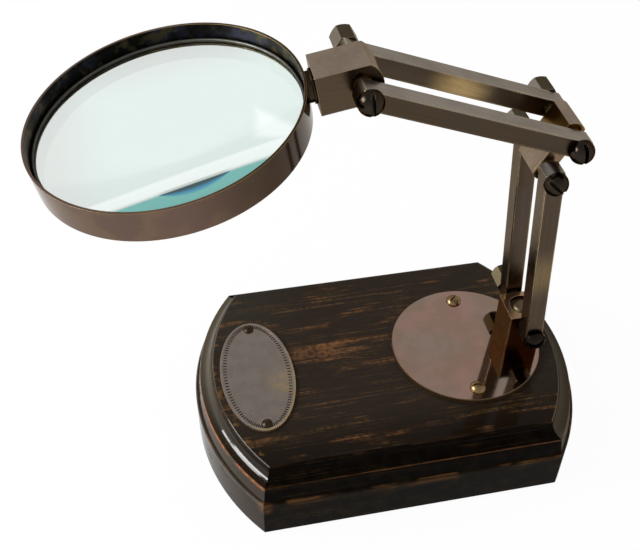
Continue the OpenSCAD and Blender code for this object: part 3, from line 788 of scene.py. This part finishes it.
def base_places(tree):
    """A point's place on the base, its distances from the outline, and masks for the base's parts."""
    at = SimpleNamespace(point=own_point(tree))
    at.along, at.across, at.height = (axes_of(tree, at.point)[axis] for axis in "XYZ")
    at.side = minus(tree, half_width, maths(tree, "ABSOLUTE", at.across))
    at.end = least(tree, *[inside_bow(tree, at.point, middle) for middle in (bow_middle, -bow_middle)])
    at.inset = least(tree, at.side, at.end)
    upper = place(tree, facing, {"Direction": (0, 0, 1), "From": 0.75, "To": 0.95})
    at.top = product(tree, upper, step(tree, at.height, top_height - 0.0015, top_height - 0.0005))
    at.front = step(tree, at.across, -0.026, -0.052)
    at.moulding = step(tree, at.height, BOARD_TOP, BOARD_TOP + 0.001)
    at.left, at.right = [place(tree, facing, {"Direction": (way, 0, 0), "From": 0.3, "To": 0.55})
                         for way in (-1, 1)]
    at.ends = greatest(tree, at.left, at.right)
    is_end = step(tree, minus(tree, at.side, at.end), 0.0, 0.0006)
    at.left_end = product(tree, is_end, step(tree, at.along, -0.03, -0.04))
    at.right_end = product(tree, is_end, step(tree, at.along, 0.03, 0.04))
    return at


# %% [markdown]
# The grain runs along the base. Hairs, streaks and wider bands are drawn lines of growing
# size. Wear isn't even along an edge either, so clouds of several sizes break it up.

# %% Grain and gaps
# Length, width and detail of the drawn lines
GRAIN_LINES = {"hair": (0.010, 0.0005, 3.0), "streak": (0.06, 0.0008, 2.0),
               "region": (0.05, 0.009, 2.0), "patch": (0.030, 0.0070, 2.0)}
# Size and the two steps of the clouds
GRAIN_CLOUDS = {"crumbs": (0.0022, 0.34, 0.6), "gap": (0.009, 0.36, 0.5), "wide_gap": (0.02, 0.46, 0.58),
                "mottle": (0.006, 0.4, 0.7), "spots": (0.0045, 0.54, 0.66)}


def wood_grain(tree):
    """The drawn lines and clouds of the wood, by name."""
    grain = SimpleNamespace()
    for name, (length, width, detail) in GRAIN_LINES.items():
        values = {"Along": (1, 0, 0), "Length": length, "Width": width, "Detail": detail}
        setattr(grain, name, place(tree, drawn_lines, values))
    for name, (size, low, high) in GRAIN_CLOUDS.items():
        setattr(grain, name, place(tree, clouds, {"Size": size, "From": low, "To": high}))
    return grain


print("grain lines", len(GRAIN_LINES), "clouds", len(GRAIN_CLOUDS))

# %% [markdown]
# **Worn edges.** The sharp arris between band and cove is rubbed to orange wood: in a thin
# broken line along the front, and in a wider one along the front half of the left end. The
# board's edge, the top's edge and the board's left corner are worn in single places.

# %% Worn edges
# Inset from the outline and height of the lines that run round the moulding
ARRIS_PLACE = (0.0028, 0.0290)
BOARD_EDGE_PLACE = (0.0003, 0.0207)
TOP_EDGE_PLACE = (0.0091, 0.0352)
print("arris", ARRIS_PLACE, "board edge", BOARD_EDGE_PLACE, "top edge", TOP_EDGE_PLACE)


def near_line(tree, inset, height, line_place, reach):
    """1 on a line that runs round the moulding at one inset and height, 0 at a reach from it."""
    over = minus(tree, inset, line_place[0])
    above = minus(tree, height, line_place[1])
    squares = total(tree, product(tree, over, over), product(tree, above, above))
    return step(tree, maths(tree, "SQRT", squares), reach, reach * 0.35)


def worn_arris(tree, at, grain):
    """Share of bare wood on the arris: thin along the front, wider round the left end."""
    front = product(tree, near_line(tree, at.inset, at.height, ARRIS_PLACE, 0.00040),
                    ranged(tree, grain.gap, 0.5, 1.0), step(tree, grain.hair, 0.4, 0.6, 0.4, 1.0),
                    step(tree, at.along, -0.06, 0.0, 0.35, 1.0), 0.5)
    front_half = step(tree, at.across, 0.006, -0.012)
    ends = product(tree, near_line(tree, at.end, at.height, ARRIS_PLACE, 0.0020),
                   ranged(tree, grain.gap, 0.1, 1.0), ranged(tree, grain.crumbs, 0.45, 1.0),
                   greatest(tree, product(tree, at.left, front_half), product(tree, at.right, 0.1)))
    return greatest(tree, front, ends)


def worn_edges(tree, at, grain):
    """Share of bare wood on the board's edge and corner and on the top's edge."""
    hairy = step(tree, grain.hair, 0.40, 0.56, 0.2, 1.0)
    board_edge = product(tree, near_line(tree, at.inset, at.height, BOARD_EDGE_PLACE, 0.0009),
                         grain.wide_gap, hairy, 0.5)
    top_edge = product(tree, near_line(tree, at.inset, at.height, TOP_EDGE_PLACE, 0.0006),
                       grain.wide_gap, hairy, 0.15)
    below_edge = product(tree, step(tree, at.height, BOARD_TOP - 0.005, BOARD_TOP), grain.wide_gap,
                         step(tree, at.inset, 0.0012, 0.0004), step(tree, grain.streak, 0.4, 0.6), 0.5)
    corner = product(tree, step(tree, greatest(tree, at.side, at.end), 0.004, 0.001),
                     step(tree, grain.hair, 0.4, 0.6), step(tree, at.along, 0.0, -0.05),
                     step(tree, at.height, BOARD_TOP - 0.009, BOARD_TOP - 0.002),
                     step(tree, at.height, BOARD_TOP + 0.0005, BOARD_TOP), 0.7)
    return greatest(tree, board_edge, below_edge, top_edge, corner)


# %% [markdown]
# ** Whole lacquer.** It isn't one black. On the top it has faded to a brown-black, greyer at the
# back left corner and darkest along the front. The sides are nearly black, and their coves are
# painted darker still as shade. The left end is brown, and its cove carries a painted grey-brown
# sheen that fades toward the front. The right end is olive, its cove painted lighter as sheen,
# with a painted highlight along its top edge.

# %% Lacquer
LACQUER = screen(39, 31, 25)
LACQUER_FADED = screen(66, 54, 38)
LACQUER_FRONT = screen(24, 16, 9)
LACQUER_SIDE = screen(17, 13, 8)
# Painted shade for the coves of the sides.
LACQUER_COVE_PAINTED_SHADE = screen(8, 5, 3)
SIDE_MOTTLE = screen(34, 27, 15)
BACK_LEFT = screen(48, 46, 40)
LEFT_SIDE = screen(46, 36, 25)
# A painted sheen on the left end's cove, lighter at the back and darker at the front.
LEFT_COVE_PAINTED_SHEEN = screen(80, 73, 60)
LEFT_COVE_FRONT = screen(34, 26, 18)
RIGHT_SIDE = screen(40, 34, 26)
# A painted sheen on the right end's cove, and a painted highlight along its top edge.
RIGHT_COVE_PAINTED_SHEEN = screen(74, 65, 52)
RIGHT_EDGE_PAINTED_HIGHLIGHT = screen(112, 100, 78)


def whole_lacquer(tree, at, grain):
    """The colour of the lacquer where it isn't worn, with painted shade in the coves of the sides, painted
    sheen on the end coves and a painted highlight on the right end's top edge.
    """
    back_left = product(tree, step(tree, at.across, 0.0, 0.045), step(tree, at.along, -0.02, -0.07), 0.6)
    faded = mix(tree, step(tree, grain.hair, 0.35, 0.75, 0.0, 0.3), LACQUER, LACQUER_FADED)
    flat_top = mix(tree, at.front, mix(tree, back_left, faded, BACK_LEFT), LACQUER_FRONT)
    brown_share = product(tree, grain.mottle, ranged(tree, at.moulding, 0.6, 0.2))
    # The coves of the sides are painted darker, as shade.
    sides = mix(tree, brown_share, mix(tree, at.moulding, LACQUER_SIDE, LACQUER_COVE_PAINTED_SHADE), SIDE_MOTTLE)
    # Painted sheen on the left end's cove, fading toward the front.
    painted_left_cove_sheen = mix(tree, step(tree, at.across, -0.045, 0.030), LEFT_COVE_FRONT, LEFT_COVE_PAINTED_SHEEN)
    above_arris = step(tree, at.height, ARRIS_PLACE[1] - 0.0006, ARRIS_PLACE[1] + 0.0002)
    sides = mix(tree, at.left_end, sides, mix(tree, above_arris, LEFT_SIDE, painted_left_cove_sheen))
    # Painted sheen on the right end's cove.
    sides = mix(tree, at.right_end, sides, mix(tree, at.moulding, RIGHT_SIDE, RIGHT_COVE_PAINTED_SHEEN))
    # A painted highlight along the right end's top edge.
    right_edge_highlight = product(tree, at.right_end,
                         near_line(tree, at.end, at.height, TOP_EDGE_PLACE, 0.0009), 0.7)
    return mix(tree, at.top, mix(tree, right_edge_highlight, sides, RIGHT_EDGE_PAINTED_HIGHLIGHT), flat_top)


print("lacquer in linear light", [round(v, 4) for v in LACQUER[:3]])

# %% [markdown]
# **Single patches.** Ochre spots lie along the top's left end, where the lacquer flaked off,
# and a reddish patch of wood shows beside the plate. Both sit at their own places. The
# patch's outline is an oval made ragged by the streaks.

# %% Spots and patch
OCHRE_SPOT = screen(118, 84, 44)
RED_PATCH = screen(106, 72, 47)
RED_PATCH_PLACE = (-0.031, 0.0066, 0)
RED_PATCH_HALF = Vector((0.022, 0.0050))


def with_patches(tree, at, grain, under):
    """A colour with the ochre spots and the reddish patch on it."""
    ochre = product(tree, grain.spots, at.left_end, at.top, step(tree, at.end, 0.0130, 0.0105),
                    step(tree, grain.hair, 0.35, 0.6, 0.3, 1.0),
                    step(tree, at.across, 0.04, 0.01, 0.25, 1.0), 0.8)
    spotted = mix(tree, ochre, under, OCHRE_SPOT)
    from_patch = vectors(tree, "SUBTRACT", at.point, RED_PATCH_PLACE)
    ragged = total(tree, oval_distance(tree, from_patch, RED_PATCH_HALF),
                   step(tree, grain.streak, 0.3, 0.7, 0.45, -0.45))
    red = product(tree, at.top, step(tree, ragged, 1.0, 0.6),
                  step(tree, grain.hair, 0.42, 0.58, 0.30, 1.0),
                  step(tree, grain.crumbs, 0.35, 0.55, 0.35, 1.0), 0.95)
    return mix(tree, red, spotted, RED_PATCH)


print("patch at", RED_PATCH_PLACE)

# %% [markdown]
# **Gloss.** The lacquer has a soft sheen by itself. Over it lies a glossy coat: thick on the
# left end, where the end grain holds more lacquer, and thin on the top, the right end and the
# worn places. On the left end it changes with height. It is thin on the board and on the upper
# half of the cove, and thickest at the cove's foot, which is the part that glints.

# %% Coat
def coat_weight(tree, at, wear):
    """Weight of the glossy coat."""
    foot = ARRIS_PLACE[1]
    on_board = step(tree, at.height, BOARD_TOP - 0.002, BOARD_TOP - 0.001, 0.07, 0.25)
    cove_foot = step(tree, at.height, foot - 0.0005, foot, 0.0, 0.4)
    cove_head = step(tree, at.height, foot + 0.0012, foot + 0.0024, 1.0, 0.35)
    end_coat = product(tree, at.left, total(tree, on_board, cove_foot), cove_head)
    edge_coat = product(tree, at.left, near_line(tree, at.inset, at.height, BOARD_EDGE_PLACE, 0.0012), 0.7)
    coat = greatest(tree, end_coat, edge_coat, product(tree, at.right, 0.02), product(tree, at.top, 0.08))
    return product(tree, coat, ranged(tree, wear, 1.0, 0.5))


print("the coat is fullest above height", ARRIS_PLACE[1])

# %% [markdown]
# The finish is built in layers: whole lacquer, a brown streak where it is thin, patches, bare
# wood where it is gone, and the orange arris on top. Worn places are duller than the rest.

# %% Lacquered wood
THIN_LACQUER = screen(104, 78, 44)
BARE_WOOD = screen(124, 84, 49)
FRONT_ARRIS = screen(134, 88, 54)
BARE_ARRIS = screen(150, 92, 50)
LACQUER_IOR = 1.08
COAT_ROUGHNESS = 0.05
COAT_IOR = 1.8
GRAIN_DEPTH = 0.00001
WOOD_EDGE_RADIUS = 0.0006


def lacquered_wood():
    """Black lacquer, rubbed through along the grain and on the edges."""
    material, tree, sockets = new_material("lacquered_wood")
    at, grain = base_places(tree), wood_grain(tree)
    thin = product(tree, step(tree, grain.streak, 0.52, 0.68),
                   step(tree, grain.region, 0.42, 0.64, 0.06, 1.0),
                   ranged(tree, grain.crumbs, 0.15, 1.0), step(tree, grain.hair, 0.35, 0.6, 0.3, 1.0))
    bare = product(tree, step(tree, grain.patch, 0.55, 0.69), step(tree, grain.streak, 0.38, 0.60),
                   ranged(tree, grain.crumbs, 0.3, 1.0))
    arris = worn_arris(tree, at, grain)
    streaks = product(tree, thin, ranged(tree, at.front, 0.8, 0.45), ranged(tree, at.top, 0.3, 1.0))
    streaked = mix(tree, streaks, whole_lacquer(tree, at, grain), THIN_LACQUER)
    bare_share = greatest(tree, product(tree, bare, ranged(tree, at.top, 0.06, 0.7)),
                          worn_edges(tree, at, grain))
    rubbed = mix(tree, bare_share, with_patches(tree, at, grain, streaked), BARE_WOOD)
    arris_wood = mix(tree, at.ends, FRONT_ARRIS, BARE_ARRIS)
    wear = greatest(tree, bare, arris, product(tree, thin, 0.5))
    dull_right = product(tree, at.right, 0.5)
    feed_all(tree, sockets, {
        "Base Color": mix(tree, arris, rubbed, arris_wood),
        "Roughness": greatest(tree, ranged(tree, wear, 0.14, 0.45), dull_right),
        "IOR": LACQUER_IOR, "Coat Weight": coat_weight(tree, at, wear),
        "Coat Roughness": COAT_ROUGHNESS, "Coat IOR": COAT_IOR})
    furrows = product(tree, total(tree, grain.hair, product(tree, grain.streak, 0.5)),
                      ranged(tree, at.ends, 1.0, 0.3))
    relief(tree, sockets, furrows, GRAIN_DEPTH, WOOD_EDGE_RADIUS)
    return material


dress(lacquered_wood(), "wood_base")

# %% [markdown]
# ## The glass
# A thick lens of faintly green glass. The room round the object can't be known, so what the
# glass catches from it is drawn on its upper face as painted reflections: a white bar and a
# white flare from a window, with a warm line along the bar, and below the bar a teal sliver
# with a dark blue fringe, which is a painted view of the thick edge seen through the lens. Bar,
# sliver and fringe follow one slightly curved line, whose place depends on the way to the stem.
# The flare has three straight edges. The far sides of the glass are painted greyer, as a
# painted reflection.

# %% Marks in the glass
SLIVER_PLACE = -0.0359
SLIVER_SLOPE = 0.118
SLIVER_BOW = 1.3
FRINGE_MIDDLE = 0.0055
FRINGE_HALF = 0.0125
FRINGE_DEPTH = 0.0040
BAR_WIDTH = 0.0064
BAR_GROWTH = 0.02
# Way toward the stem, way toward the back and distance of the flare's three straight edges
FLARE_EDGES = ((0.742, 0.670, 0.0203), (-0.982, 0.198, -0.0312), (-0.343, -0.939, 0.0097))
# Least depth of the fringe, since nothing can be divided by 0
LEAST_DEPTH = 0.00001

stem_side = (stem_way - ring_axis * stem_way.dot(ring_axis)).normalized()
back_side = ring_axis.cross(stem_side)
print("stem side", [round(v, 3) for v in stem_side], "back side", [round(v, 3) for v in back_side])


def painted_glass_marks(tree):
    """Masks for the painted grey sides of the glass and for the painted reflections on its upper face, by
    name.
    """
    offset = vectors(tree, "SUBTRACT", own_point(tree), ring_middle)
    on_top = step(tree, dot(tree, offset, ring_axis), 0.0, 0.0002)
    sideways = dot(tree, offset, stem_side)
    backward = dot(tree, offset, back_side)
    line = total(tree, product(tree, sideways, SLIVER_SLOPE),
                 product(tree, sideways, sideways, SLIVER_BOW), SLIVER_PLACE)
    above = minus(tree, backward, line)
    from_fringe = maths(tree, "DIVIDE", minus(tree, sideways, FRINGE_MIDDLE), FRINGE_HALF)
    swell = minus(tree, 1.0, product(tree, from_fringe, from_fringe))
    fringe_depth = greatest(tree, product(tree, swell, FRINGE_DEPTH), LEAST_DEPTH)
    deep = maths(tree, "DIVIDE", product(tree, above, -1.0), fringe_depth)
    below_line = step(tree, above, 0.0004, -0.0003)
    over_bar = minus(tree, above, total(tree, product(tree, sideways, BAR_GROWTH), BAR_WIDTH))
    outside = greatest(tree, *[minus(tree, dot(tree, offset, stem_side * right + back_side * back), edge)
                               for right, back, edge in FLARE_EDGES])
    # Every mask below places painted light on the glass: the grey sides, the white bar, the flare and the
    # warm line as painted reflections, the teal sliver and its fringe as a painted view of the edge.
    return SimpleNamespace(
        grey=product(tree, greatest(tree, step(tree, sideways, -0.018, -0.046),
                                    step(tree, backward, 0.018, 0.046)), 0.9),
        bright=greatest(tree, product(tree, step(tree, above, 0.0006, 0.0016), on_top,
                                      step(tree, over_bar, 0.0007, -0.0009)),
                        product(tree, step(tree, outside, 0.0013, -0.0034), on_top)),
        warm=product(tree, step(tree, above, 0.0016, 0.0006), step(tree, above, 0.0, 0.0004),
                     step(tree, swell, -0.3, 0.5), on_top, 0.8),
        sliver=product(tree, step(tree, above, 0.0004, -0.0005), on_top),
        blue=product(tree, step(tree, deep, 1.15, 0.65), below_line, on_top),
        dark=product(tree, step(tree, deep, 0.75, 0.3), below_line, on_top))


# %% [markdown]
# The shader is Principled with full transmission, so it bends light as the real lens does,
# and the painted marks tint that light. Where the bar and the flare are painted, the glass also
# glows a little, a painted glow. Light that only casts a shadow goes straight through a
# Transparent shader instead, because bent light takes very many samples to gather.

# %% Lens glass
# Tints for the glass and for its painted reflections.
CLEAR_GLASS = (0.83, 0.94, 0.90, 1)
GREY_GLASS_PAINTED = (0.79, 0.82, 0.80, 1)
NO_GLOW = (0, 0, 0, 1)
WARM_LINE = (0.46, 0.44, 0.34, 1)
TEAL_SLIVER = (0.058, 0.33, 0.295, 1)
BLUE_FRINGE = (0.006, 0.115, 0.30, 1)
DARK_FRINGE = (0.004, 0.012, 0.014, 1)
# Colour and strength of the painted glow on the bar and the flare.
PAINTED_GLOW_TINT = (0.8, 1.0, 0.9, 1)
PAINTED_GLOW_STRENGTH = 0.11
SHADOW_GLASS = (0.85, 0.92, 0.89, 1)
GLASS_IOR = 1.52


def mix_shaders(tree, share, under, over):
    """Mixes two shaders by a share from 0 to 1, and sends the result to the material's output."""
    either = add(tree, "ShaderNodeMixShader")
    for socket, source in zip(either.inputs, (share, under, over)):
        feed(tree, socket, source)
    feed(tree, tree.nodes["Material Output"].inputs["Surface"], either.outputs["Shader"])


def lens_glass():
    """Clear glass, faintly green, with painted reflections and a painted glow."""
    material, tree, sockets = new_material("lens_glass")
    marks = painted_glass_marks(tree)
    tint = CLEAR_GLASS
    for mark, colour in ((marks.grey, GREY_GLASS_PAINTED), (marks.bright, WHITE), (marks.warm, WARM_LINE),
                         (marks.sliver, TEAL_SLIVER), (marks.blue, BLUE_FRINGE), (marks.dark, DARK_FRINGE)):
        tint = mix(tree, mark, tint, colour)
    feed_all(tree, sockets, {
        "Base Color": tint, "Roughness": 0.0, "IOR": GLASS_IOR, "Transmission Weight": 1.0,
        # The bar and the flare also glow a little, a painted glow.
        "Emission Color": mix(tree, marks.bright, NO_GLOW, PAINTED_GLOW_TINT),
        "Emission Strength": PAINTED_GLOW_STRENGTH})
    clear = add(tree, "ShaderNodeBsdfTransparent")
    feed(tree, clear.inputs["Color"], SHADOW_GLASS)
    is_shadow = add(tree, "ShaderNodeLightPath").outputs["Is Shadow Ray"]
    mix_shaders(tree, is_shadow, tree.nodes["Principled BSDF"].outputs["BSDF"], clear.outputs["BSDF"])
    return material


dress(lens_glass(), "lens")

# %% [markdown]
# ## Floor
# The photo's ground is white paper. A floor that is only lit never comes out quite white, and
# one that only glows shows no shadow. So for rays that look at it, from the camera, off the
# brass and through the glass, nearly all of it glows, and the small lit share keeps a faint
# shadow. For all other rays it is plain lit paper.

# %% Floor
FLOOR_HALF = 4.0
GLOW_SHARE = 0.96
PAPER_GREY, PAPER_WHITE = (0.93, 0.93, 0.93, 1), (0.95, 0.95, 0.95, 1)


def white_floor():
    """White paper that glows for rays that look at it."""
    material, tree, sockets = new_material("white_paper")
    grain = place(tree, clouds, {"Size": 0.5, "From": 0.0, "To": 1.0})
    paper = mix(tree, grain, PAPER_GREY, PAPER_WHITE)
    feed_all(tree, sockets, {"Base Color": paper, "Roughness": 1.0, "Specular IOR Level": 0.0})
    glow = add(tree, "ShaderNodeEmission").outputs["Emission"]
    rays = add(tree, "ShaderNodeLightPath").outputs
    looks = greatest(tree, rays["Is Camera Ray"], rays["Is Glossy Ray"], rays["Is Transmission Ray"])
    mix_shaders(tree, product(tree, looks, GLOW_SHARE), tree.nodes["Principled BSDF"].outputs["BSDF"], glow)
    return material


floor_corners = [(x * FLOOR_HALF, y * FLOOR_HALF, 0) for x, y in ((-1, -1), (1, -1), (1, 1), (-1, 1))]
floor_mesh = bpy.data.meshes.new("floor")
floor_mesh.from_pydata(floor_corners, [], [(0, 1, 2, 3)])
floor = bpy.data.objects.new("floor", floor_mesh)
floor_mesh.materials.append(white_floor())
bpy.context.scene.collection.objects.link(floor)
print("floor", 2 * FLOOR_HALF, "m wide")

# %% [markdown]
# ## Light
# A pale room all round, brighter at the horizon than overhead, fills every side. The camera
# itself sees it as white, so it meets the white floor without a line.

# %% Room light
HORIZON_LIGHT = 0.8
ZENITH_LIGHT = 0.48
world = bpy.data.worlds.new("pale_room")
world.use_nodes = True
bpy.context.scene.world = world
room = world.node_tree
room.nodes.clear()
sight = axes_of(room, add(room, "ShaderNodeTexCoord").outputs["Generated"])["Z"]
gradient = step(room, sight, 0.0, 1.0, HORIZON_LIGHT, ZENITH_LIGHT)
is_camera = add(room, "ShaderNodeLightPath").outputs["Is Camera Ray"]
background = add(room, "ShaderNodeBackground")
feed_all(room, background.inputs, {"Color": WHITE, "Strength": greatest(room, gradient, is_camera)})
feed(room, add(room, "ShaderNodeOutputWorld").inputs["Surface"], background.outputs["Background"])
print("room light", HORIZON_LIGHT, "to", ZENITH_LIGHT)

# %% [markdown]
# One window to the left puts the glints on the lacquer and on the screw heads.

# %% Window
LIT_POINT = Vector((0, 0, 0.08))


def soft_box(name, turn, rise, away, width, height, radiance):
    """An area lamp that faces the object: turn is from +Y toward +X, both angles in degrees."""
    turn, rise = math.radians(turn), math.radians(rise)
    way = Vector((math.sin(turn) * math.cos(rise), math.cos(turn) * math.cos(rise), math.sin(rise)))
    data = bpy.data.lights.new(name, "AREA")
    data.shape = "RECTANGLE"
    data.size = width
    data.size_y = height
    data.energy = radiance * math.pi * width * height
    lamp = bpy.data.objects.new(name, data)
    facing_back = way.to_track_quat("Z", "Y").to_matrix().to_4x4()
    lamp.matrix_world = Matrix.Translation(LIT_POINT + way * away) @ facing_back
    bpy.context.scene.collection.objects.link(lamp)
    print(name, "energy", round(data.energy, 2))


soft_box("left_window", turn=-84, rise=30, away=1.2, width=0.66, height=0.46, radiance=12.0)

# %% [markdown]
# ## Finish
# The picture uses the Standard view, so a colour comes out about as it is written.

# %% Finish
bpy.context.scene.view_settings.view_transform = "Standard"
